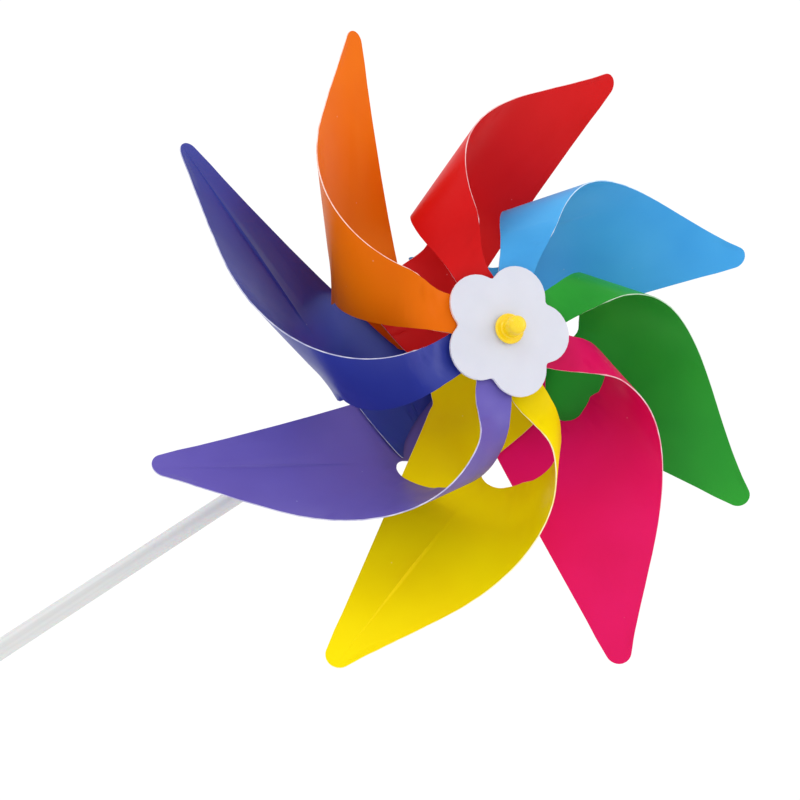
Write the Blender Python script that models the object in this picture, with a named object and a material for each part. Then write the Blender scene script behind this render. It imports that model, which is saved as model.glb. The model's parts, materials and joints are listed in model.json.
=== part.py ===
"""Pinwheel: eight curled plastic blades on a hub sleeve that spins on a steel axle.

Metres, +Z up along the stick, origin at the centre of the stick's bottom end.
The wheel faces -Y. The wheel's own frame has its axis along local +Z (forward), and its
zero plane is the middle of the stack of back tabs.
"""
from math import acos, asin, atan2, cos, pi, radians, sin, tau

import bmesh
import bpy
import numpy as np
from mathutils import Matrix, Vector
from mathutils.bvhtree import BVHTree
from mathutils.geometry import delaunay_2d_cdt

# ---- clearances ------------------------------------------------------------------
FIT_GAP = 0.0003          # between pieces that touch
RUN_GAP = 0.0004          # between a turning piece and a still one

# ---- stick and head ----------------------------------------------------------------
STICK_LENGTH = 0.360
STICK_DIAMETER = 0.0068
STICK_WALL = 0.0009
PLUG_DEPTH = 0.009
PLUG_RIM = 0.0015
HEAD_WALL = 0.0014
HEAD_CUP_DEPTH = 0.014
HEAD_TOP = 0.0045         # head above the barrel's axis line
HEAD_ROUNDING = 0.0012
BARREL_DIAMETER = 0.0076
BARREL_OVERHANG = 0.0008  # barrel in front of the head's wall
BORE_OVERRUN = 0.0020     # how far the bore's cutter runs past the barrel
STANDOFF = 0.0148         # stick's axis to the middle of the stack of back tabs

# ---- axle and what turns on it -----------------------------------------------------
AXLE_DIAMETER = 0.0024
SLEEVE_WALL = 0.0010
SLEEVE_FLANGE_DIAMETER = 0.0110
SLEEVE_FLANGE = 0.0012
DISC_DIAMETER = 0.0180
DISC_THICKNESS = 0.0010
RING_DIAMETER = 0.0100
RING_THICKNESS = 0.0014
BEAD_DIAMETER = 0.0070
REAR_CAP_DIAMETER = 0.0080
REAR_CAP_LENGTH = 0.0050
CAP_FLANGE_DIAMETER = 0.0102
CAP_FLANGE = 0.0013
CAP_NUB_DIAMETER = 0.0062
CAP_LENGTH = 0.0082
CAP_SOCKET = 0.0052       # how far the axle reaches into the nose cap
REAR_SOCKET = 0.0026      # and into the rear cap
SLEEVE_PROUD = 0.0002     # sleeve in front of the flower
EDGE_BREAK = 0.0004       # small chamfer on moulded edges
NUB_ROUNDING = 0.7        # share of the nub's radius that its nose curves over
REAR_CAP_ROUNDING = 0.0018

# ---- flower disc -------------------------------------------------------------------
FLOWER_LOBES = 5
LOBE_CENTRE = 0.0127      # axis to the middle of a lobe
LOBE_RADIUS = 0.0103
LOBE_FILLET = 0.0015      # rounding in the corner between two lobes
FLOWER_THICKNESS = 0.0010
FLOWER_TURN = radians(-17)

# ---- blade: its flat pattern, before it is curled ----------------------------------
# The back hole is at (0, 0), the tip is towards +Y and the strap leaves towards -X.
SHEET = 0.0004
WHEEL_SPACING = 0.0565         # middle of the back tabs to middle of the front tabs
TIP = (-0.0069, 0.1258)
TIP_RADIUS = 0.0045
STRAIGHT_EDGE_INSET = 0.0047   # how far left of the back hole the straight edge points
EDGE_FLARE = 0.0170            # where the straight edge starts to flare to the tab
STRAP_HOLE = (-0.1196, 0.0277)
STRAP_HALF_WIDTH = 0.0082
TAB_RADIUS = 0.0068
BELLY = (-0.0802, 0.0666)      # widest point of the curved outer edge
BELLY_HEADING = radians(-140.6)
TIP_HEADING = radians(-129.0)
STRAP_HEADING = radians(-133.2)
NOTCH = (-0.0404, 0.0375)
NOTCH_RADIUS = 0.0080
NOTCH_START = radians(104.9)
STRAP_INNER_HEADING = radians(-122.2)
TIP_PULLS = (0.0191, 0.0351)       # handle lengths of the edge curves, at each end
STRAP_PULLS = (0.0180, 0.0180)
INNER_PULLS = (0.0231, 0.0078)
LOBE_CORNER = (-0.0460, 0.0025)
LOBE_CORNER_RADIUS = 0.0020

# ---- blade: how it curls ---------------------------------------------------------------
# Creases cross the line from the back hole to the strap hole at equal steps of bend.
CREASES = 44
BEND_STATIONS = (0.0, 0.10, 0.26, 0.42, 0.58, 0.74, 0.90, 1.0)
BEND_RATES = (0.0, 0.87, 2.18, 1.75, 2.48, 0.59, 0.70, 0.0)
BEND_SCALE = pi / 1.2
CREASE_STATIONS = (0.0, 1 / 3, 2 / 3, 1.0)
CREASE_ANGLES = (-1.367, -0.040, 0.193, -0.288)
TAB_ROLL = -0.213         # lean of the back tab about the tip direction

# ---- blades: name, colour, lean from even spacing in degrees, place in the back stack --
BLADES = (
    ("blade_orange", (0.80, 0.20, 0.01), 4.0, 0),
    ("blade_red", (0.62, 0.01, 0.01), -1.5, 5),
    ("blade_light_blue", (0.09, 0.38, 0.76), 0.5, 4),
    ("blade_green", (0.03, 0.26, 0.03), -2.5, 3),
    ("blade_magenta", (0.70, 0.01, 0.10), 2.5, 6),
    ("blade_yellow", (0.84, 0.66, 0.01), -3.0, 7),
    ("blade_purple", (0.10, 0.08, 0.42), 3.0, 1),
    ("blade_navy", (0.01, 0.02, 0.27), -3.0, 2),
)
FIRST_BLADE_ANGLE = radians(72.5)

# ---- how the blades lie on each other ------------------------------------------------
STACK_PITCH = SHEET + FIT_GAP
HUB_FLAT = (0.0140, 0.0320)       # back tabs: flat inside, free outside
FRONT_FLAT = (0.0225, 0.0420)     # straps under the flower: flat inside, free outside
REST_ANGLE = (radians(20.0), radians(42.0))   # where a blade comes to rest on the next
REST_REACH = (0.0260, 0.0420)     # how far towards the tip it lies on it
REST_RADIUS = (0.0490, 0.0560)    # and how far from the axle
REST_DEPTH = 3                    # how many blades deep the pile is followed
FRONT_STATION = 0.50              # share of the way to the strap hole where the front starts
DRAW_STATIONS = (0.45, 0.92)      # where the strap is drawn onto the axle
SWAP_STATIONS = (0.36, 0.72)      # where a blade passes from its back to its front place
REST_SPREAD = 0.0006              # extra stack pitch of the back layers, away from the hub
REST_SPREAD_RADIUS = (0.0100, 0.0300)
HOLE_FLAT = (0.0085, 0.0240)      # strap laid out true round its hole, then eased away


# ---- how finely a blade is divided -----------------------------------------------------
CREASE_STEP = 0.0090              # along each crease
FILL_STEP = 0.0060                # between creases, where blades lie on each other
BACK_REACH = 0.0670               # how far that goes from the back hole
STRAP_REACH = 0.0350              # and from the strap hole
HUB_RINGS = (0.0100, 0.0125, 0.0155)
HUB_RING_POINTS = 20
OUTER_EDGE_POINTS = 14
STRAP_EDGE_POINTS = 8
INNER_EDGE_POINTS = 12
LOWER_EDGE_POINTS = 9

# ---- smoothness ------------------------------------------------------------------------
TUBE_SIDES = 40
SMALL_SIDES = 32
AXLE_SIDES = 24
ARC_STEP = radians(12)
FILLET_STEP = radians(25)
HOLE_STEP = radians(20)
DOME_STEPS = 7

# ---- places along the wheel's axis -----------------------------------------------------
STACK_HALF = (len(BLADES) - 1) / 2 * STACK_PITCH + SHEET / 2
DISC_BACK = -STACK_HALF - FIT_GAP - DISC_THICKNESS
FLANGE_BACK = DISC_BACK - FIT_GAP - SLEEVE_FLANGE
BARREL_FRONT = -STANDOFF + STICK_DIAMETER / 2 + FIT_GAP + HEAD_WALL + BARREL_OVERHANG
BEAD_FRONT = FLANGE_BACK - RUN_GAP
BEAD_BACK = BARREL_FRONT + FIT_GAP
FLOWER_BACK = WHEEL_SPACING + STACK_HALF + FIT_GAP
FLOWER_FRONT = FLOWER_BACK + FLOWER_THICKNESS
SLEEVE_FRONT = FLOWER_FRONT + SLEEVE_PROUD
CAP_BACK = SLEEVE_FRONT + RUN_GAP
BARREL_BACK = -STANDOFF - STICK_DIAMETER / 2 - FIT_GAP - HEAD_WALL
REAR_CAP_FRONT = BARREL_BACK - FIT_GAP

AXLE_RADIUS = AXLE_DIAMETER / 2
SLEEVE_BORE = AXLE_RADIUS + RUN_GAP
SLEEVE_RADIUS = SLEEVE_BORE + SLEEVE_WALL
TAB_HOLE = SLEEVE_RADIUS + FIT_GAP
STICK_RADIUS = STICK_DIAMETER / 2
STICK_BORE = STICK_RADIUS - STICK_WALL
HUB_HEIGHT = STICK_LENGTH + FIT_GAP + HEAD_WALL + BARREL_DIAMETER / 2


# ---- helpers -------------------------------------------------------------------------
def clear_scene():
    for old in list(bpy.data.objects):
        bpy.data.objects.remove(old, do_unlink=True)


def material(name, colour, roughness, metallic=0.0):
    mat = bpy.data.materials.new(name)
    mat.use_nodes = True
    shader = mat.node_tree.nodes["Principled BSDF"]
    shader.inputs["Base Color"].default_value = (*colour, 1.0)
    shader.inputs["Roughness"].default_value = roughness
    shader.inputs["Metallic"].default_value = metallic
    return mat


def add_object(name, mesh, mat, parent=None):
    piece = bpy.data.objects.new(name, mesh)
    bpy.context.scene.collection.objects.link(piece)
    if mat:
        piece.data.materials.append(mat)
    piece.parent = parent
    return piece


def mesh_from_bmesh(name, bm, smooth_angle=radians(35)):
    bmesh.ops.recalc_face_normals(bm, faces=bm.faces)
    mesh = bpy.data.meshes.new(name)
    bm.to_mesh(mesh)
    bm.free()
    mesh.shade_smooth()
    mesh.set_sharp_from_angle(angle=smooth_angle)
    return mesh


def turned(name, profile, sides, mat, parent=None):
    """A solid of revolution about local Z from a closed profile of (radius, height)."""
    bm = bmesh.new()
    verts = [bm.verts.new((radius, 0.0, height)) for radius, height in profile]
    on_axis = profile[0][0] == profile[-1][0] == 0.0
    edges = [bm.edges.new((verts[i - 1], verts[i])) for i in range(int(on_axis), len(verts))]
    bmesh.ops.spin(bm, geom=verts + edges, cent=(0, 0, 0), axis=(0, 0, 1),
                   angle=tau, steps=sides, use_merge=True)
    bmesh.ops.remove_doubles(bm, verts=bm.verts, dist=1e-6)
    return add_object(name, mesh_from_bmesh(name, bm), mat, parent)


def arc(centre, radius, start, end, step=ARC_STEP):
    """Points along an arc, both ends included."""
    count = max(2, int(abs(end - start) / step + 1.5))
    angles = np.linspace(start, end, count)
    return [(centre[0] + radius * cos(a), centre[1] + radius * sin(a)) for a in angles]


def bezier(start, start_pull, end_pull, end, count):
    """Points along a cubic curve, both ends left out."""
    points = []
    for t in np.linspace(0.0, 1.0, count + 2)[1:-1]:
        weights = ((1 - t) ** 3, 3 * t * (1 - t) ** 2, 3 * t * t * (1 - t), t ** 3)
        corners = (start, start_pull, end_pull, end)
        points.append(tuple(sum(w * c[i] for w, c in zip(weights, corners)) for i in (0, 1)))
    return points


def between(start, end, count):
    """Evenly spaced points on a straight run, both ends left out."""
    steps = np.linspace(0.0, 1.0, count + 2)[1:-1]
    return [(start[0] + (end[0] - start[0]) * t, start[1] + (end[1] - start[1]) * t)
            for t in steps]


def along(point, heading, distance):
    return (point[0] + distance * cos(heading), point[1] + distance * sin(heading))


def smoothstep(value, low, high):
    t = np.clip((value - low) / (high - low), 0.0, 1.0)
    return t * t * (3.0 - 2.0 * t)


def tangent_angle(point, radius, side):
    """Where a line from the point touches a circle about the origin."""
    reach = np.hypot(*point)
    return atan2(point[1], point[0]) + side * acos(radius / reach)


def tangent_normal(first, second, first_radius, second_radius, side):
    """Outward normal, 0 to 360 degrees, of the line touching two circles in turn.

    A radius is negative where the line passes the circle with its centre on the outside.
    """
    apart = (second[0] - first[0], second[1] - first[1])
    lean = acos((first_radius - second_radius) / np.hypot(*apart))
    return (atan2(apart[1], apart[0]) + side * lean) % tau


# ---- the blade's flat pattern --------------------------------------------------------
def blade_outline():
    """The cut edge of one blade, anticlockwise from the right of the tip."""
    edge_normal = (atan2(TIP[1], TIP[0]) - pi / 2
                   + asin((-STRAIGHT_EDGE_INSET - TIP_RADIUS) / np.hypot(*TIP)))
    foot = along((0.0, 0.0), edge_normal, -STRAIGHT_EDGE_INSET)
    flare = along(foot, edge_normal + pi / 2, EDGE_FLARE)
    points = arc(TIP, TIP_RADIUS, edge_normal, TIP_HEADING + 3 * pi / 2)

    outer_start = points[-1]
    points += bezier(outer_start, along(outer_start, TIP_HEADING, TIP_PULLS[0]),
                     along(BELLY, BELLY_HEADING, -TIP_PULLS[1]), BELLY,
                     OUTER_EDGE_POINTS)
    points.append(BELLY)
    tab_arc = arc(STRAP_HOLE, STRAP_HALF_WIDTH, STRAP_HEADING + 3 * pi / 2,
                  STRAP_INNER_HEADING + 5 * pi / 2)
    points += bezier(BELLY, along(BELLY, BELLY_HEADING, STRAP_PULLS[0]),
                     along(tab_arc[0], STRAP_HEADING, -STRAP_PULLS[1]), tab_arc[0],
                     STRAP_EDGE_POINTS)
    points += tab_arc

    lobe_normal = tangent_normal(NOTCH, LOBE_CORNER, -NOTCH_RADIUS, LOBE_CORNER_RADIUS, -1)
    lower_normal = tangent_normal(LOBE_CORNER, (0.0, 0.0), LOBE_CORNER_RADIUS, TAB_RADIUS, -1)
    notch_arc = arc(NOTCH, NOTCH_RADIUS, NOTCH_START, lobe_normal - pi)
    points += bezier(tab_arc[-1], along(tab_arc[-1], STRAP_INNER_HEADING, -INNER_PULLS[0]),
                     along(notch_arc[0], NOTCH_START - pi / 2, -INNER_PULLS[1]),
                     notch_arc[0], INNER_EDGE_POINTS)
    points += notch_arc
    points += arc(LOBE_CORNER, LOBE_CORNER_RADIUS, lobe_normal, lower_normal)
    points += between(points[-1], along((0.0, 0.0), lower_normal, TAB_RADIUS),
                      LOWER_EDGE_POINTS)
    points += arc((0.0, 0.0), TAB_RADIUS, lower_normal,
                  tangent_angle(flare, TAB_RADIUS, -1) + tau)
    points.append(flare)
    return points


def hole(centre):
    return arc(centre, TAB_HOLE, 0.0, tau, HOLE_STEP)[:-1]


# ---- the blade's creases -------------------------------------------------------------
def creases():
    """Places, headings and bend of the creases that curl the sheet."""
    fine = np.linspace(0.0, 1.0, 2001)
    rate = np.interp(fine, BEND_STATIONS, BEND_RATES) * BEND_SCALE
    total = np.concatenate([[0.0], np.cumsum((rate[1:] + rate[:-1]) / 2) * (fine[1] - fine[0])])
    steps = (np.arange(CREASES) + 0.5) / CREASES * total[-1]
    stations = np.interp(steps, total, fine)
    headings = np.interp(stations, CREASE_STATIONS, CREASE_ANGLES) + pi / 2
    places = stations[:, None] * np.array(STRAP_HOLE)
    directions = np.stack([np.cos(headings), np.sin(headings)], axis=1)
    return places, directions, total[-1] / CREASES


def past_creases(points, places, directions):
    """Signed distance of each point from each crease, positive towards the strap."""
    away = np.asarray(points)[:, None, :] - places[None]
    return directions[:, 0] * away[:, :, 1] - directions[:, 1] * away[:, :, 0]


def curl(points, places, directions, bend):
    """Where flat points go when every crease is bent in turn."""
    matrices = [Matrix.Rotation(TAB_ROLL, 4, "Y")]
    for place, direction in zip(places, directions):
        move = Matrix.Translation((*place, 0.0))
        turn = Matrix.Rotation(bend, 4, Vector((*direction, 0.0)))
        matrices.append(matrices[-1] @ move @ turn @ move.inverted())
    matrices = np.array([[list(row) for row in m] for m in matrices])
    strip = (past_creases(points, places, directions) > 0).sum(axis=1)
    flat = np.column_stack([points, np.zeros(len(points)), np.ones(len(points))])
    return np.einsum("nij,nj->ni", matrices[strip], flat)[:, :3]


# ---- the blade's mesh ------------------------------------------------------------------
def loop_with_crossings(loop, places, directions):
    """A loop with a point added wherever a crease crosses it."""
    margin = past_creases(loop, places, directions)
    points = []
    crossings = []
    for i, here in enumerate(loop):
        after = (i + 1) % len(loop)
        points.append(here)
        start = np.array(here)
        step = np.array(loop[after]) - start
        cut = np.nonzero(margin[i] * margin[after] < 0)[0]
        fractions = margin[i][cut] / (margin[i][cut] - margin[after][cut])
        for fraction, crease in sorted(zip(fractions, cut)):
            crossings.append((crease, len(points)))
            points.append(tuple(start + step * fraction))
    return points, crossings


def inside(points, loop):
    """Which points lie inside a loop, by counting crossings."""
    points = np.asarray(points)
    result = np.zeros(len(points), dtype=bool)
    corners = np.asarray(loop)
    for a, b in zip(corners, np.roll(corners, -1, axis=0)):
        spans = (a[1] > points[:, 1]) != (b[1] > points[:, 1])
        with np.errstate(divide="ignore", invalid="ignore"):
            at = (b[0] - a[0]) * (points[:, 1] - a[1]) / (b[1] - a[1]) + a[0]
        result ^= spans & (points[:, 0] < at)
    return result


def flat_sheet(places, directions):
    """Vertices and triangles of the flat blade, cut along every crease."""
    outline = blade_outline()
    holes = [hole((0.0, 0.0)), hole(STRAP_HOLE)]
    points = []
    edges = []
    crossings = []
    for loop in (outline, *holes):
        loop_points, loop_crossings = loop_with_crossings(loop, places, directions)
        base = len(points)
        count = len(loop_points)
        points += loop_points
        edges += [(base + i, base + (i + 1) % count) for i in range(count)]
        crossings += [(crease, base + i) for crease, i in loop_crossings]

    on_edge = len(points)
    for crease in range(len(places)):
        ends = [i for c, i in crossings if c == crease]
        ends.sort(key=lambda i: np.dot(points[i], directions[crease]))
        for first, last in zip(ends[::2], ends[1::2]):
            length = np.hypot(*np.subtract(points[last], points[first]))
            count = max(1, int(length / CREASE_STEP + 0.5))
            chain = [first]
            for t in np.arange(1, count) / count:
                chain.append(len(points))
                points.append(tuple(np.array(points[first]) * (1 - t)
                                    + np.array(points[last]) * t))
            chain.append(last)
            edges += list(zip(chain[:-1], chain[1:]))

    fill = fill_points(outline, holes, np.array(points[:on_edge]), places, directions)
    points += fill
    verts, _, faces, *_ = delaunay_2d_cdt([Vector(p) for p in points], edges, [], 0, 1e-7)
    flat = np.array([tuple(v) for v in verts])
    faces = np.array(faces)
    middles = flat[faces].mean(axis=1)
    keep = inside(middles, outline)
    for ring in holes:
        keep &= ~inside(middles, ring)
    return flat, faces[keep]


def fill_points(outline, holes, edge_points, places, directions):
    """Extra points in the parts of the sheet that lie on other blades."""
    grid = [(x, y) for x in np.arange(-BACK_REACH, TAB_RADIUS, FILL_STEP)
            for y in np.arange(-TAB_RADIUS, BACK_REACH, FILL_STEP)]
    grid += [(STRAP_HOLE[0] + x, STRAP_HOLE[1] + y)
             for x in np.arange(-STRAP_HALF_WIDTH, STRAP_REACH, FILL_STEP)
             for y in np.arange(-STRAP_HALF_WIDTH, STRAP_REACH, FILL_STEP)]
    grid += [(r * cos(a), r * sin(a)) for r in HUB_RINGS
             for a in np.arange(0.0, tau, tau / HUB_RING_POINTS)]
    grid = np.array(grid)
    keep = inside(grid, outline)
    for ring in holes:
        keep &= ~inside(grid, ring)
    keep &= np.abs(past_creases(grid, places, directions)).min(axis=1) > FILL_STEP / 4
    grid = grid[keep]
    away = np.hypot(*(grid[:, None] - edge_points[None]).transpose(2, 0, 1)).min(axis=1)
    return [tuple(p) for p in grid[away > FILL_STEP / 3]]


# ---- how the blades settle on each other -----------------------------------------------
def back_height_lookup(places, directions, bend):
    """Height of the curled sheet, carried on past its edges, above any point of the hub."""
    xs = np.arange(-0.070, 0.0301, 0.0025)
    ys = np.arange(-0.030, 0.0751, 0.0025)
    flat = np.array([(x, y) for x in xs for y in ys])
    carried = curl(flat, places, directions, bend)
    rows = len(ys)
    quads = [(i * rows + j, (i + 1) * rows + j, (i + 1) * rows + j + 1, i * rows + j + 1)
             for i in range(len(xs) - 1) for j in range(rows - 1)]
    tree = BVHTree.FromPolygons([tuple(p) for p in carried], quads)

    def height(x, y):
        hit = tree.ray_cast(Vector((x, y, -0.05)), Vector((0.0, 0.0, 1.0)))[0]
        return hit.z if hit else None
    return height


def rest_weight(x, y):
    """How far a point of the back layer follows the blade that it lies on."""
    angle = (atan2(y, x) - pi / 2 + pi) % tau - pi
    return (smoothstep(angle, *REST_ANGLE) * (1.0 - smoothstep(y, *REST_REACH))
            * (1.0 - smoothstep(np.hypot(x, y), *REST_RADIUS)))


def settled_height(index, x, y, own, height, depth=0):
    """Height of a back layer that lies on its anticlockwise neighbour, without stacking."""
    weight = rest_weight(x, y)
    if weight == 0.0 or depth == REST_DEPTH:
        return own
    turn = blade_angle(index) - blade_angle(index - 1)
    below_x = x * cos(turn) - y * sin(turn)
    below_y = x * sin(turn) + y * cos(turn)
    natural = height(below_x, below_y)
    if natural is None:
        return own
    below = settled_height(index - 1, below_x, below_y, natural, height, depth + 1)
    return own * (1.0 - weight) + below * weight


def blade_angle(index):
    lean = radians(BLADES[index % len(BLADES)][2])
    return FIRST_BLADE_ANGLE - index * tau / len(BLADES) + lean


def settle(index, flat, curled, height):
    """Lay one curled blade into the wheel, in the wheel's own frame."""
    reach = np.hypot(*STRAP_HOLE)
    station = flat @ np.array(STRAP_HOLE) / reach ** 2
    target = np.array((0.0, 0.0, WHEEL_SPACING))
    draw = smoothstep(station, *DRAW_STATIONS)[:, None]
    placed = curled + (target - curled[-1]) * draw
    in_front = station > FRONT_STATION

    offset = flat - np.array(STRAP_HOLE)
    near = np.hypot(offset[:, 0], offset[:, 1])
    rim = near < HOLE_FLAT[0]
    across = np.linalg.lstsq(offset[rim], placed[rim, :2], rcond=None)[0]
    left, _, right = np.linalg.svd(across)
    laid = offset @ (left @ right)
    hold = 1.0 - smoothstep(near, *HOLE_FLAT)[:, None]
    placed[:, :2] = placed[:, :2] * (1.0 - hold) + laid * hold
    radius = np.hypot(placed[:, 0], placed[:, 1])

    for i in np.nonzero(~in_front)[0]:
        x, y, z = placed[i]
        placed[i, 2] = settled_height(index, x, y, z, height)
    placed[~in_front, 2] *= smoothstep(radius[~in_front], *HUB_FLAT)
    free = smoothstep(radius[in_front], *FRONT_FLAT)
    placed[in_front, 2] = WHEEL_SPACING + (placed[in_front, 2] - WHEEL_SPACING) * free

    place = BLADES[index][3] - (len(BLADES) - 1) / 2
    swap = smoothstep(station, *SWAP_STATIONS)
    placed[:, 2] += place * STACK_PITCH * (1.0 - 2.0 * swap)
    spread = smoothstep(radius, *REST_SPREAD_RADIUS) * (1.0 - swap)
    placed[:, 2] += place * REST_SPREAD * spread
    turn = np.array(Matrix.Rotation(blade_angle(index), 3, "Z"))
    return placed @ turn.T


def build_blades(rotor):
    places, directions, bend = creases()
    flat, faces = flat_sheet(places, directions)
    curled = curl(np.vstack([flat, STRAP_HOLE]), places, directions, bend)
    flat = np.vstack([flat, STRAP_HOLE])
    height = back_height_lookup(places, directions, bend)
    for index, (name, colour, _, _) in enumerate(BLADES):
        placed = settle(index, flat, curled.copy(), height)[:-1]
        mesh = bpy.data.meshes.new(name)
        mesh.from_pydata([tuple(p) for p in placed], [], [tuple(int(v) for v in f) for f in faces])
        mesh.shade_smooth()
        piece = add_object(name, mesh, material(name, colour, 0.35), rotor)
        thickness = piece.modifiers.new("sheet", "SOLIDIFY")
        thickness.thickness = SHEET
        thickness.offset = 0.0


# ---- turned pieces on the axle -----------------------------------------------------------
def tube_profile(inner, outer, low, high):
    return [(inner, low), (outer, low), (outer, high), (inner, high)]


def dome(radius, rounding, top):
    """Profile points of a rounded nose, from its side up to the axis."""
    flat = radius - rounding
    return [(flat + rounding * cos(a), top - rounding + rounding * sin(a))
            for a in np.linspace(0.0, pi / 2, DOME_STEPS)] + [(0.0, top)]


def build_hub(rotor, white):
    turned("hub_sleeve", [
        (SLEEVE_BORE, FLANGE_BACK), (SLEEVE_FLANGE_DIAMETER / 2, FLANGE_BACK),
        (SLEEVE_FLANGE_DIAMETER / 2, FLANGE_BACK + SLEEVE_FLANGE),
        (SLEEVE_RADIUS, FLANGE_BACK + SLEEVE_FLANGE), (SLEEVE_RADIUS, SLEEVE_FRONT),
        (SLEEVE_BORE, SLEEVE_FRONT)], SMALL_SIDES, white, rotor)
    turned("rear_hub_disc", tube_profile(TAB_HOLE, DISC_DIAMETER / 2, DISC_BACK,
                                         DISC_BACK + DISC_THICKNESS),
           SMALL_SIDES, white, rotor)
    rear = STACK_HALF + FIT_GAP
    front = WHEEL_SPACING - STACK_HALF - FIT_GAP
    turned("rear_tab_ring", tube_profile(TAB_HOLE, RING_DIAMETER / 2, rear,
                                         rear + RING_THICKNESS), SMALL_SIDES, white, rotor)
    turned("front_tab_ring", tube_profile(TAB_HOLE, RING_DIAMETER / 2,
                                          front - RING_THICKNESS, front),
           SMALL_SIDES, white, rotor)


def flower_outline():
    """Round lobes with a small fillet in each corner between them."""
    half = pi / FLOWER_LOBES
    span = LOBE_RADIUS + LOBE_FILLET
    out = (LOBE_CENTRE * cos(half)
           + np.sqrt(span ** 2 - (LOBE_CENTRE * sin(half)) ** 2))
    reach = atan2(out * sin(half), out * cos(half) - LOBE_CENTRE)
    points = []
    for lobe in range(FLOWER_LOBES):
        heading = FLOWER_TURN + 2 * half * lobe
        points += arc(along((0.0, 0.0), heading, LOBE_CENTRE), LOBE_RADIUS,
                      heading - reach, heading + reach)
        inward = heading + half + pi
        points += arc(along((0.0, 0.0), heading + half, out), LOBE_FILLET,
                      inward + reach - half, inward - reach + half, FILLET_STEP)[1:-1]
    return points


def build_flower(rotor, mat):
    outline = flower_outline()
    ring = hole((0.0, 0.0))
    loops = []
    bm = bmesh.new()
    for loop in (outline, ring):
        verts = [bm.verts.new((x, y, FLOWER_BACK)) for x, y in loop]
        loops += [bm.edges.new((verts[i - 1], verts[i])) for i in range(len(verts))]
    face = bmesh.ops.triangle_fill(bm, use_beauty=True, edges=loops)
    faces = [g for g in face["geom"] if isinstance(g, bmesh.types.BMFace)]
    grown = bmesh.ops.extrude_face_region(bm, geom=faces)["geom"]
    verts = [g for g in grown if isinstance(g, bmesh.types.BMVert)]
    bmesh.ops.translate(bm, verts=verts, vec=(0.0, 0.0, FLOWER_THICKNESS))
    add_object("flower_disc", mesh_from_bmesh("flower_disc", bm), mat, rotor)


def build_axle(frame, yellow, white, steel):
    front = CAP_BACK + CAP_SOCKET
    back = REAR_CAP_FRONT - REAR_SOCKET
    turned("axle", [(0.0, back), (AXLE_RADIUS, back), (AXLE_RADIUS, front), (0.0, front)],
           AXLE_SIDES, steel, frame)
    socket = AXLE_RADIUS + FIT_GAP
    nub = CAP_NUB_DIAMETER / 2
    flange = CAP_FLANGE_DIAMETER / 2
    turned("nose_cap", [
        (0.0, front + FIT_GAP), (socket, front + FIT_GAP), (socket, CAP_BACK),
        (flange - EDGE_BREAK, CAP_BACK), (flange, CAP_BACK + EDGE_BREAK),
        (flange, CAP_BACK + CAP_FLANGE - EDGE_BREAK),
        (flange - EDGE_BREAK, CAP_BACK + CAP_FLANGE),
        (nub + EDGE_BREAK, CAP_BACK + CAP_FLANGE), (nub, CAP_BACK + CAP_FLANGE + EDGE_BREAK),
        *dome(nub, nub * NUB_ROUNDING, CAP_BACK + CAP_LENGTH)], SMALL_SIDES, yellow, frame)
    turned("rear_spacer_bead", tube_profile(AXLE_RADIUS + FIT_GAP, BEAD_DIAMETER / 2,
                                            BEAD_BACK, BEAD_FRONT), SMALL_SIDES, white, frame)
    nose = [(radius, REAR_CAP_FRONT - height) for radius, height in
            reversed(dome(REAR_CAP_DIAMETER / 2, REAR_CAP_ROUNDING, REAR_CAP_LENGTH))]
    turned("rear_cap", [*nose, (REAR_CAP_DIAMETER / 2, REAR_CAP_FRONT),
                        (socket, REAR_CAP_FRONT), (socket, back - FIT_GAP),
                        (0.0, back - FIT_GAP)], SMALL_SIDES, white, frame)


# ---- stick -------------------------------------------------------------------------------
def build_stick(white):
    turned("stick_tube", tube_profile(STICK_BORE, STICK_RADIUS, PLUG_RIM + FIT_GAP,
                                      STICK_LENGTH), TUBE_SIDES, white)
    plug = STICK_BORE - FIT_GAP
    turned("stick_end_plug", [
        (0.0, 0.0), (STICK_RADIUS - EDGE_BREAK, 0.0), (STICK_RADIUS, EDGE_BREAK),
        (STICK_RADIUS, PLUG_RIM), (plug, PLUG_RIM), (plug, PLUG_RIM + PLUG_DEPTH),
        (0.0, PLUG_RIM + PLUG_DEPTH)], TUBE_SIDES, white)


def cross_cylinder(name, radius, low, high, sides):
    """A plain cylinder along the axle's line."""
    piece = turned(name, [(0.0, low), (radius, low), (radius, high), (0.0, high)],
                   sides, None)
    piece.data.transform(Matrix.Translation((0.0, -STANDOFF, HUB_HEIGHT))
                         @ Matrix.Rotation(pi / 2, 4, "X"))
    return piece


def combine(target, other, operation):
    step = target.modifiers.new(other.name, "BOOLEAN")
    step.operation = operation
    step.solver = "EXACT"
    step.object = other
    other.hide_render = True
    other.display_type = "WIRE"


def build_head(white):
    """Cup over the top of the stick, with a barrel across it for the axle."""
    cup = STICK_RADIUS + FIT_GAP
    outer = cup + HEAD_WALL
    low = STICK_LENGTH - HEAD_CUP_DEPTH
    roof = STICK_LENGTH + FIT_GAP
    top = HUB_HEIGHT + HEAD_TOP
    head = turned("stick_head", [
        (0.0, roof), (cup, roof), (cup, low), (outer - EDGE_BREAK, low),
        (outer, low + EDGE_BREAK), *dome(outer, HEAD_ROUNDING, top)], TUBE_SIDES, white)
    combine(head, cross_cylinder("barrel", BARREL_DIAMETER / 2, BARREL_BACK, BARREL_FRONT,
                                 SMALL_SIDES), "UNION")
    combine(head, cross_cylinder("axle_bore", AXLE_RADIUS + FIT_GAP, BARREL_BACK - BORE_OVERRUN,
                                 BARREL_FRONT + BORE_OVERRUN, AXLE_SIDES), "DIFFERENCE")


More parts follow.
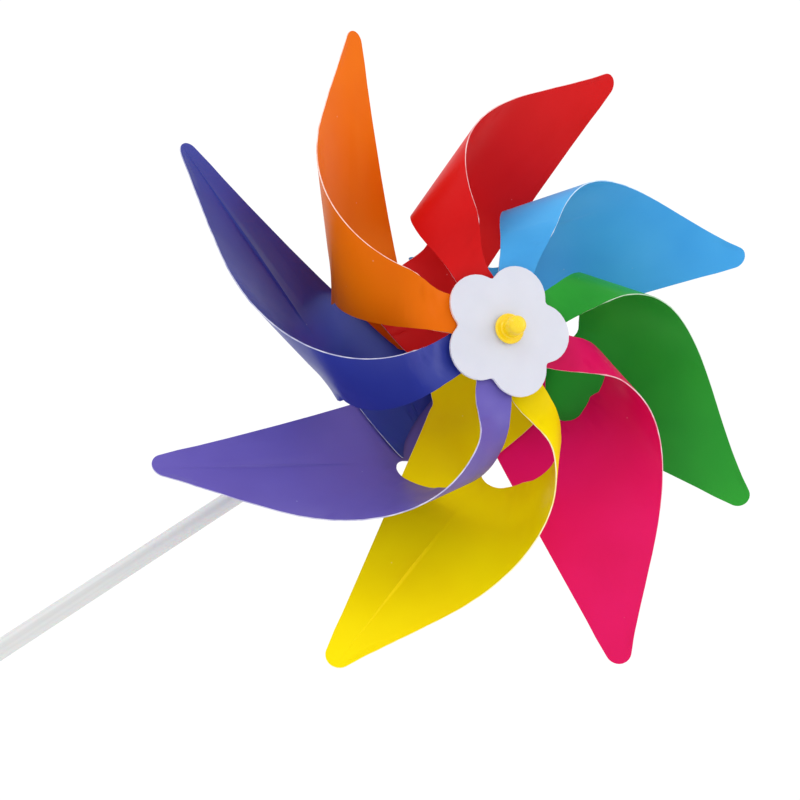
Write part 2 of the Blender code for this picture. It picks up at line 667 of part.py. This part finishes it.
def hub_frame(name):
    """An empty on the axle's line, with +Z forward along it."""
    empty = bpy.data.objects.new(name, None)
    bpy.context.scene.collection.objects.link(empty)
    empty.location = (0.0, -STANDOFF, HUB_HEIGHT)
    empty.rotation_euler = (pi / 2, 0.0, 0.0)
    return empty


def main():
    clear_scene()
    white = material("white_plastic", (0.80, 0.80, 0.78), 0.4)
    steel = material("steel", (0.60, 0.60, 0.62), 0.3, 1.0)
    yellow = material("yellow_plastic", (0.90, 0.62, 0.02), 0.3)
    flower = material("flower_plastic", (0.75, 0.77, 0.86), 0.4)

    rotor = hub_frame("rotor")
    build_blades(rotor)
    build_hub(rotor, white)
    build_flower(rotor, flower)
    build_axle(hub_frame("axle_line"), yellow, white, steel)
    build_stick(white)
    build_head(white)


main()
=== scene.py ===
"""Looks for the pinwheel: smooth, finely meshed plastic pieces over the fixed CAD frame."""
import json

import bmesh
import bpy
from math import radians
from mathutils import Matrix, Vector


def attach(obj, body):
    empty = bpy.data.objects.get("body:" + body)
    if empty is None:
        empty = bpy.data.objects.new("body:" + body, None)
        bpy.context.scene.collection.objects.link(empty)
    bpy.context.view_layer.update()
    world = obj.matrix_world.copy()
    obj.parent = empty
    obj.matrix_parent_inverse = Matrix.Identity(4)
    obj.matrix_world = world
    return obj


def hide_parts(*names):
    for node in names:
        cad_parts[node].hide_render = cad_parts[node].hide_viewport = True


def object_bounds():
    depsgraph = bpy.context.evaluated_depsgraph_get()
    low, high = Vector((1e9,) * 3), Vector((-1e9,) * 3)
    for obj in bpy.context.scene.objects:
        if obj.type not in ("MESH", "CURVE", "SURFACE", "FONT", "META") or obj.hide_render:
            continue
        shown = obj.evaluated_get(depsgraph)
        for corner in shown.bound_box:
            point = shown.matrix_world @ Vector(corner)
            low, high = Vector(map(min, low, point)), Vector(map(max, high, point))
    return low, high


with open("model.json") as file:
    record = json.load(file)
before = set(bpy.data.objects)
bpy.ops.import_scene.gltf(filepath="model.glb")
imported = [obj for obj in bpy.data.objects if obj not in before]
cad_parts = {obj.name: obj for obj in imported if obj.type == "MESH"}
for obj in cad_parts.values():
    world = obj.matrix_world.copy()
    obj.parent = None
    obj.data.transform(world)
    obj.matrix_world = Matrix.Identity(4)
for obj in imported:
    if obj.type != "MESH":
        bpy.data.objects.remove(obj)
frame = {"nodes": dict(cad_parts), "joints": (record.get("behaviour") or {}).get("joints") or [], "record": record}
cad_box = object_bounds()
hub = Vector(frame["joints"][0]["pos_m"])

# sheet colours: (lit body colour, deeper colour that it drifts to, gloss), linear
SHEETS = {
    "orange": ((0.800, 0.168, 0.001), (0.700, 0.118, 0.001), 0.06),
    "red": ((0.680, 0.008, 0.010), (0.560, 0.003, 0.003), 0.10),
    "light_blue": ((0.080, 0.430, 0.860), (0.042, 0.330, 0.770), 0.18),
    "green": ((0.030, 0.350, 0.034), (0.016, 0.270, 0.027), 0.10),
    "magenta": ((0.760, 0.005, 0.140), (0.650, 0.003, 0.092), 0.12),
    "yellow": ((0.930, 0.740, 0.001), (0.860, 0.630, 0.001), 0.05),
    "purple": ((0.150, 0.118, 0.470), (0.118, 0.086, 0.375), 0.16),
    "navy": ((0.028, 0.046, 0.350), (0.016, 0.028, 0.255), 0.32),
}
# how far a sheet's cut edge goes towards white: partly its own paler colour, partly a painted highlight
EDGE_PALENESS_AND_HIGHLIGHT = 0.62
SHEET_CORNER = radians(50)      # sharper edges than this end a sheet's smooth face
CORNER = radians(40)            # and any other piece's
SOFT_EDGE = 0.00015             # rounding of the small pieces' edges, metres
TUBE_SOFT_EDGE = 0.00012
MERGE = 1e-6                    # points closer than this are one
FLOOR_HALF = 6.0
FLOOR_GAP = 0.0002              # floor under the stick's end
CAMERA_LENS = 36.43             # mm, on a 36 mm sensor
CAMERA_SENSOR = 36.0
CAMERA_OFFSET = (-0.01263, -0.29760, -0.13457)   # from the hub, metres
CAMERA_TURN = ((0.53322, -0.84454, -0.04925), (-0.32099, -0.14811, -0.93543),
               (0.78271, 0.51460, -0.35007))
WORLD_STRENGTH = 1.04
# lights: (offset right, up and back in the camera's view, metres), size in metres, watts
KEY_LIGHT = ((-0.75, 0.85, 0.35), 0.7, 3.2)
SIDE_LIGHT = ((0.95, 0.30, 0.25), 0.6, 1.8)


# ---- finely meshed copies of CAD nodes --------------------------------------------------
def regions(bm, sharp):
    """A number for each face: faces joined over edges that bend less than sharp share one."""
    owner = [-1] * len(bm.faces)
    count = 0
    for seed in bm.faces:
        if owner[seed.index] >= 0:
            continue
        owner[seed.index] = count
        queue = [seed]
        while queue:
            face = queue.pop()
            for edge in face.edges:
                if len(edge.link_faces) != 2 or edge.calc_face_angle() > sharp:
                    continue
                for other in edge.link_faces:
                    if owner[other.index] < 0:
                        owner[other.index] = count
                        queue.append(other)
        count += 1
    return owner


def refine(verts, faces, groups, sharp):
    """Splits each triangle in four, lifting the new points onto the curved surface."""
    bm = bmesh.new()
    for v in verts:
        bm.verts.new(v)
    bm.verts.ensure_lookup_table()
    for f in faces:
        bm.faces.new([bm.verts[i] for i in f])
    bm.faces.index_update()
    bm.verts.index_update()
    bm.edges.index_update()
    bm.normal_update()
    owner = regions(bm, sharp)
    normals = {}
    for face in bm.faces:
        for loop in face.loops:
            key = (loop.vert.index, owner[face.index])
            normals[key] = normals.get(key, Vector()) + face.normal * loop.calc_angle()
    for normal in normals.values():
        normal.normalize()

    points = [v.co.copy() for v in bm.verts]
    middle = {}
    for edge in bm.edges:
        a, b = edge.verts
        mid = (a.co + b.co) / 2
        lift = Vector()
        for region in {owner[face.index] for face in edge.link_faces}:
            na = normals[(a.index, region)]
            nb = normals[(b.index, region)]
            lift -= (na * (mid - a.co).dot(na) + nb * (mid - b.co).dot(nb)) / 2
        middle[edge.index] = len(points)
        points.append(mid + lift)
    split = []
    split_groups = []
    for face in bm.faces:
        corner = [v.index for v in face.verts]
        between = [middle[edge.index] for edge in face.edges]
        split += [(corner[0], between[0], between[2]), (corner[1], between[1], between[0]),
                  (corner[2], between[2], between[1]), tuple(between)]
        split_groups += [groups[face.index]] * 4
    bm.free()
    return points, split, split_groups


def fine_copy(node, levels, sharp, sheet=False):
    """A smooth, finer mesh with the shape of a CAD node. A sheet's cut edge is group 1."""
    bm = bmesh.new()
    bm.from_mesh(frame["nodes"][node].data)
    bmesh.ops.remove_doubles(bm, verts=bm.verts, dist=MERGE)
    bmesh.ops.triangulate(bm, faces=bm.faces)
    bmesh.ops.recalc_face_normals(bm, faces=bm.faces)
    bm.faces.index_update()
    groups = [0] * len(bm.faces)
    if sheet:
        owner = regions(bm, sharp)
        area = {}
        for face in bm.faces:
            area[owner[face.index]] = area.get(owner[face.index], 0.0) + face.calc_area()
        wide = sorted(area, key=area.get)[-2:]
        groups = [0 if region in wide else 1 for region in owner]
    bm.verts.index_update()
    verts = [v.co.copy() for v in bm.verts]
    faces = [tuple(v.index for v in f.verts) for f in bm.faces]
    bm.free()
    for _ in range(levels):
        verts, faces, groups = refine(verts, faces, groups, sharp)
    mesh = bpy.data.meshes.new(node + "_fine")
    mesh.from_pydata([tuple(v) for v in verts], [], faces)
    mesh.polygons.foreach_set("material_index", groups)
    mesh.shade_smooth()
    mesh.set_sharp_from_angle(angle=sharp)
    return mesh


def body_of(node):
    """The body that moves a node."""
    for body, nodes in frame["record"]["behaviour"]["bodies"].items():
        if node in nodes:
            return body


def stand_in(node, levels, mats, sharp=CORNER, sheet=False, bevel=0.0):
    """A smooth copy of a CAD node, refined levels times, that moves with its body."""
    piece = bpy.data.objects.new(node + "_fine", fine_copy(node, levels, sharp, sheet))
    bpy.context.scene.collection.objects.link(piece)
    for mat in mats:
        piece.data.materials.append(mat)
    if bevel:
        step = piece.modifiers.new("soft edge", "BEVEL")
        step.width = bevel
        step.segments = 2
        step.limit_method = "ANGLE"
        step.angle_limit = sharp
        step.harden_normals = True
    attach(piece, body_of(node))
    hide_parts(node)


# ---- materials --------------------------------------------------------------------------
class Nodes:
    """Short calls for building one node material."""

    def __init__(self, name):
        self.mat = bpy.data.materials.new(name)
        self.mat.use_nodes = True
        self.tree = self.mat.node_tree
        self.shader = self.tree.nodes["Principled BSDF"]
        self.place = self.add("ShaderNodeTexCoord").outputs["Object"]

    def add(self, kind, **settings):
        node = self.tree.nodes.new(kind)
        for key, value in settings.items():
            setattr(node, key, value)
        return node

    def link(self, source, socket):
        self.tree.links.new(source, socket)

    def stretched(self, scale):
        node = self.add("ShaderNodeMapping")
        node.inputs["Scale"].default_value = scale
        self.link(self.place, node.inputs["Vector"])
        return node.outputs["Vector"]

    def noise(self, scale, detail=2.0, place=None):
        node = self.add("ShaderNodeTexNoise")
        node.inputs["Scale"].default_value = scale
        node.inputs["Detail"].default_value = detail
        self.link(place or self.place, node.inputs["Vector"])
        return node.outputs["Fac"]

    def remap(self, value, low, high, to_low, to_high):
        node = self.add("ShaderNodeMapRange")
        for name, number in (("From Min", low), ("From Max", high),
                             ("To Min", to_low), ("To Max", to_high)):
            node.inputs[name].default_value = number
        self.link(value, node.inputs["Value"])
        return node.outputs["Result"]

    def mix(self, factor, first, second):
        node = self.add("ShaderNodeMix", data_type="RGBA")
        self.link(factor, node.inputs["Factor"])
        for socket, colour in ((node.inputs[6], first), (node.inputs[7], second)):
            if isinstance(colour, tuple):
                socket.default_value = (*colour, 1.0)
            else:
                self.link(colour, socket)
        return node.outputs[2]

    def bump(self, height, strength, distance, under=None):
        node = self.add("ShaderNodeBump")
        node.inputs["Strength"].default_value = strength
        node.inputs["Distance"].default_value = distance
        self.link(height, node.inputs["Height"])
        if under:
            self.link(under, node.inputs["Normal"])
        return node.outputs["Normal"]

    def set(self, **values):
        for name, value in values.items():
            self.shader.inputs[name.replace("_", " ")].default_value = value


def sheet_material(name, body, deep, gloss):
    """Satin plastic sheet whose colour drifts a little, with faint waves and specks."""
    n = Nodes("sheet_" + name)
    drift = n.remap(n.noise(16.0, 3.0), 0.35, 0.65, 0.0, 1.0)
    colour = n.mix(drift, deep, body)
    specks = n.add("ShaderNodeTexVoronoi")
    specks.inputs["Scale"].default_value = 95.0
    n.link(n.place, specks.inputs["Vector"])
    dots = n.remap(specks.outputs["Distance"], 0.015, 0.035, 1.0, 0.0)
    pale = tuple(c * 0.6 + 0.4 for c in body)
    n.link(n.mix(n.remap(dots, 0.0, 1.0, 0.0, 0.35), colour, pale),
           n.shader.inputs["Base Color"])
    n.link(n.remap(n.noise(70.0, 4.0), 0.3, 0.7, 0.33, 0.43), n.shader.inputs["Roughness"])
    waves = n.bump(n.noise(28.0, 1.0), 0.10, 0.0012)
    grain = n.bump(n.noise(1500.0, 2.0), 0.05, 0.0002, waves)
    n.link(n.bump(dots, 0.3, 0.0001, grain), n.shader.inputs["Normal"])
    n.set(Specular_IOR_Level=gloss, IOR=1.49, Subsurface_Weight=0.10, Subsurface_Scale=0.003)
    n.shader.inputs["Subsurface Radius"].default_value = tuple(0.2 + 0.8 * c for c in body)
    return n.mat


def edge_and_highlight_material(name, body):
    """The paler cut edge of a sheet: partly its own paler colour, partly a painted highlight."""
    n = Nodes("cut_edge_and_highlight_" + name)
    # pale: the cut edge mixed towards white, a painted highlight over the edge's own paler colour
    pale = tuple(c * (1 - EDGE_PALENESS_AND_HIGHLIGHT) + EDGE_PALENESS_AND_HIGHLIGHT * 0.95 for c in body)
    dull = tuple(c * 0.5 + p * 0.5 for c, p in zip(body, pale))
    n.link(n.mix(n.remap(n.noise(240.0, 3.0), 0.35, 0.6, 0.0, 1.0), dull, pale),
           n.shader.inputs["Base Color"])
    n.link(n.bump(n.noise(1800.0, 2.0), 0.2, 0.0001), n.shader.inputs["Normal"])
    n.set(Roughness=0.5)
    return n.mat


def moulded_material(name, light, dark, rough, grain=0.05, gloss=0.45, inner=0.0):
    """Injection-moulded plastic with faint mottling and a fine surface grain."""
    n = Nodes(name)
    n.link(n.mix(n.remap(n.noise(130.0, 4.0), 0.35, 0.65, 0.0, 1.0), dark, light),
           n.shader.inputs["Base Color"])
    n.link(n.remap(n.noise(300.0, 3.0), 0.3, 0.7, rough - 0.05, rough + 0.06),
           n.shader.inputs["Roughness"])
    fine = n.bump(n.noise(2600.0, 2.0), grain, 0.0001)
    n.link(n.bump(n.noise(220.0, 1.0), 0.06, 0.0003, fine), n.shader.inputs["Normal"])
    n.set(Specular_IOR_Level=gloss, Subsurface_Weight=inner, Subsurface_Scale=0.002)
    return n.mat


def stick_material():
    """Milky extruded tube with drawn streaks along it."""
    n = Nodes("stick_tube_plastic")
    streaks = n.noise(60.0, 4.0, n.stretched((6.0, 6.0, 0.06)))
    scuffs = n.noise(55.0, 5.0)
    tone = n.mix(n.remap(streaks, 0.35, 0.65, 0.0, 1.0), (0.600, 0.600, 0.592),
                 (0.705, 0.705, 0.700))
    n.link(n.mix(n.remap(scuffs, 0.62, 0.75, 0.0, 0.35), tone, (0.52, 0.52, 0.51)),
           n.shader.inputs["Base Color"])
    n.link(n.remap(scuffs, 0.3, 0.7, 0.34, 0.48), n.shader.inputs["Roughness"])
    n.link(n.bump(streaks, 0.12, 0.0002), n.shader.inputs["Normal"])
    n.set(Subsurface_Weight=0.25, Subsurface_Scale=0.003, Specular_IOR_Level=0.4)
    return n.mat


def steel_material():
    """Drawn wire, with streaks along the axle."""
    n = Nodes("axle_wire_steel")
    drawn = n.noise(90.0, 4.0, n.stretched((12.0, 0.4, 12.0)))
    n.link(n.mix(drawn, (0.48, 0.48, 0.50), (0.66, 0.66, 0.68)), n.shader.inputs["Base Color"])
    n.link(n.remap(drawn, 0.3, 0.7, 0.22, 0.38), n.shader.inputs["Roughness"])
    n.link(n.bump(drawn, 0.1, 0.0001), n.shader.inputs["Normal"])
    n.set(Metallic=1.0)
    return n.mat


# ---- pieces -----------------------------------------------------------------------------
# each sheet's cut edge material is partly a painted highlight
for colour, (body, deep, gloss) in SHEETS.items():
    stand_in("blade_" + colour, 1, [sheet_material(colour, body, deep, gloss),
                                    edge_and_highlight_material(colour, body)],
             sharp=SHEET_CORNER, sheet=True)

flower = moulded_material("flower_plastic", (0.645, 0.656, 0.740), (0.625, 0.636, 0.722), 0.42,
                          grain=0.03, inner=0.05)
# white cut edge of the flower: a painted highlight, whiter than the flower's face of the same plastic
flower_edge_highlight = moulded_material("flower_cut_edge_highlight", (0.93, 0.93, 0.95), (0.88, 0.88, 0.92), 0.4)
stand_in("flower_disc", 1, [flower, flower_edge_highlight], sheet=True)

yellow = moulded_material("yellow_cap_plastic", (0.940, 0.680, 0.006), (0.890, 0.600, 0.004),
                          0.28, grain=0.02, gloss=0.5, inner=0.08)
white = moulded_material("white_fitting_plastic", (0.800, 0.800, 0.780),
                         (0.760, 0.760, 0.740), 0.40, inner=0.05)
stand_in("nose_cap", 2, [yellow])
stand_in("stick_tube", 1, [stick_material()], bevel=TUBE_SOFT_EDGE)
stand_in("axle", 1, [steel_material()], bevel=SOFT_EDGE)
stand_in("stick_end_plug", 1, [white])
for node in ("stick_head", "rear_cap", "rear_spacer_bead", "hub_sleeve", "rear_hub_disc",
             "rear_tab_ring", "front_tab_ring"):
    stand_in(node, 1, [white], bevel=SOFT_EDGE)


# ---- stage ------------------------------------------------------------------------------
def make_floor():
    low, high = cad_box
    bm = bmesh.new()
    bmesh.ops.create_grid(bm, x_segments=8, y_segments=8, size=FLOOR_HALF)
    mesh = bpy.data.meshes.new("floor")
    bm.to_mesh(mesh)
    bm.free()
    floor = bpy.data.objects.new("floor", mesh)
    floor.location = ((low.x + high.x) / 2, (low.y + high.y) / 2, low.z - FLOOR_GAP)
    bpy.context.scene.collection.objects.link(floor)
    n = Nodes("pale_floor")
    n.link(n.mix(n.noise(3.0, 2.0), (0.975, 0.975, 0.975), (0.985, 0.985, 0.985)),
           n.shader.inputs["Base Color"])
    n.set(Roughness=0.8, Specular_IOR_Level=0.1)
    mesh.materials.append(n.mat)


def make_camera():
    data = bpy.data.cameras.new("camera")
    data.sensor_width = CAMERA_SENSOR
    data.lens = CAMERA_LENS
    camera = bpy.data.objects.new("camera", data)
    turn = Matrix(CAMERA_TURN)
    camera.location = hub + Vector(CAMERA_OFFSET)
    camera.rotation_euler = turn.to_euler()
    bpy.context.scene.collection.objects.link(camera)
    bpy.context.scene.camera = camera
    return turn


def soft_light(name, aim, offset, size, power, turn):
    """An area light placed by how far right, up and back it is as the camera sees it."""
    data = bpy.data.lights.new(name, "AREA")
    data.shape = "DISK"
    data.size = size
    data.energy = power
    light = bpy.data.objects.new(name, data)
    light.location = aim + turn @ Vector(offset)
    light.rotation_euler = (light.location - aim).to_track_quat("Z", "Y").to_euler()
    bpy.context.scene.collection.objects.link(light)


def make_world(strength):
    world = bpy.data.worlds.new("studio")
    world.use_nodes = True
    back = world.node_tree.nodes["Background"]
    back.inputs["Color"].default_value = (1.0, 1.0, 1.0, 1.0)
    back.inputs["Strength"].default_value = strength
    bpy.context.scene.world = world


make_floor()
view = make_camera()
make_world(WORLD_STRENGTH)
soft_light("key", hub, *KEY_LIGHT, view)
soft_light("side", hub, *SIDE_LIGHT, view)
bpy.context.scene.view_settings.view_transform = "Standard"
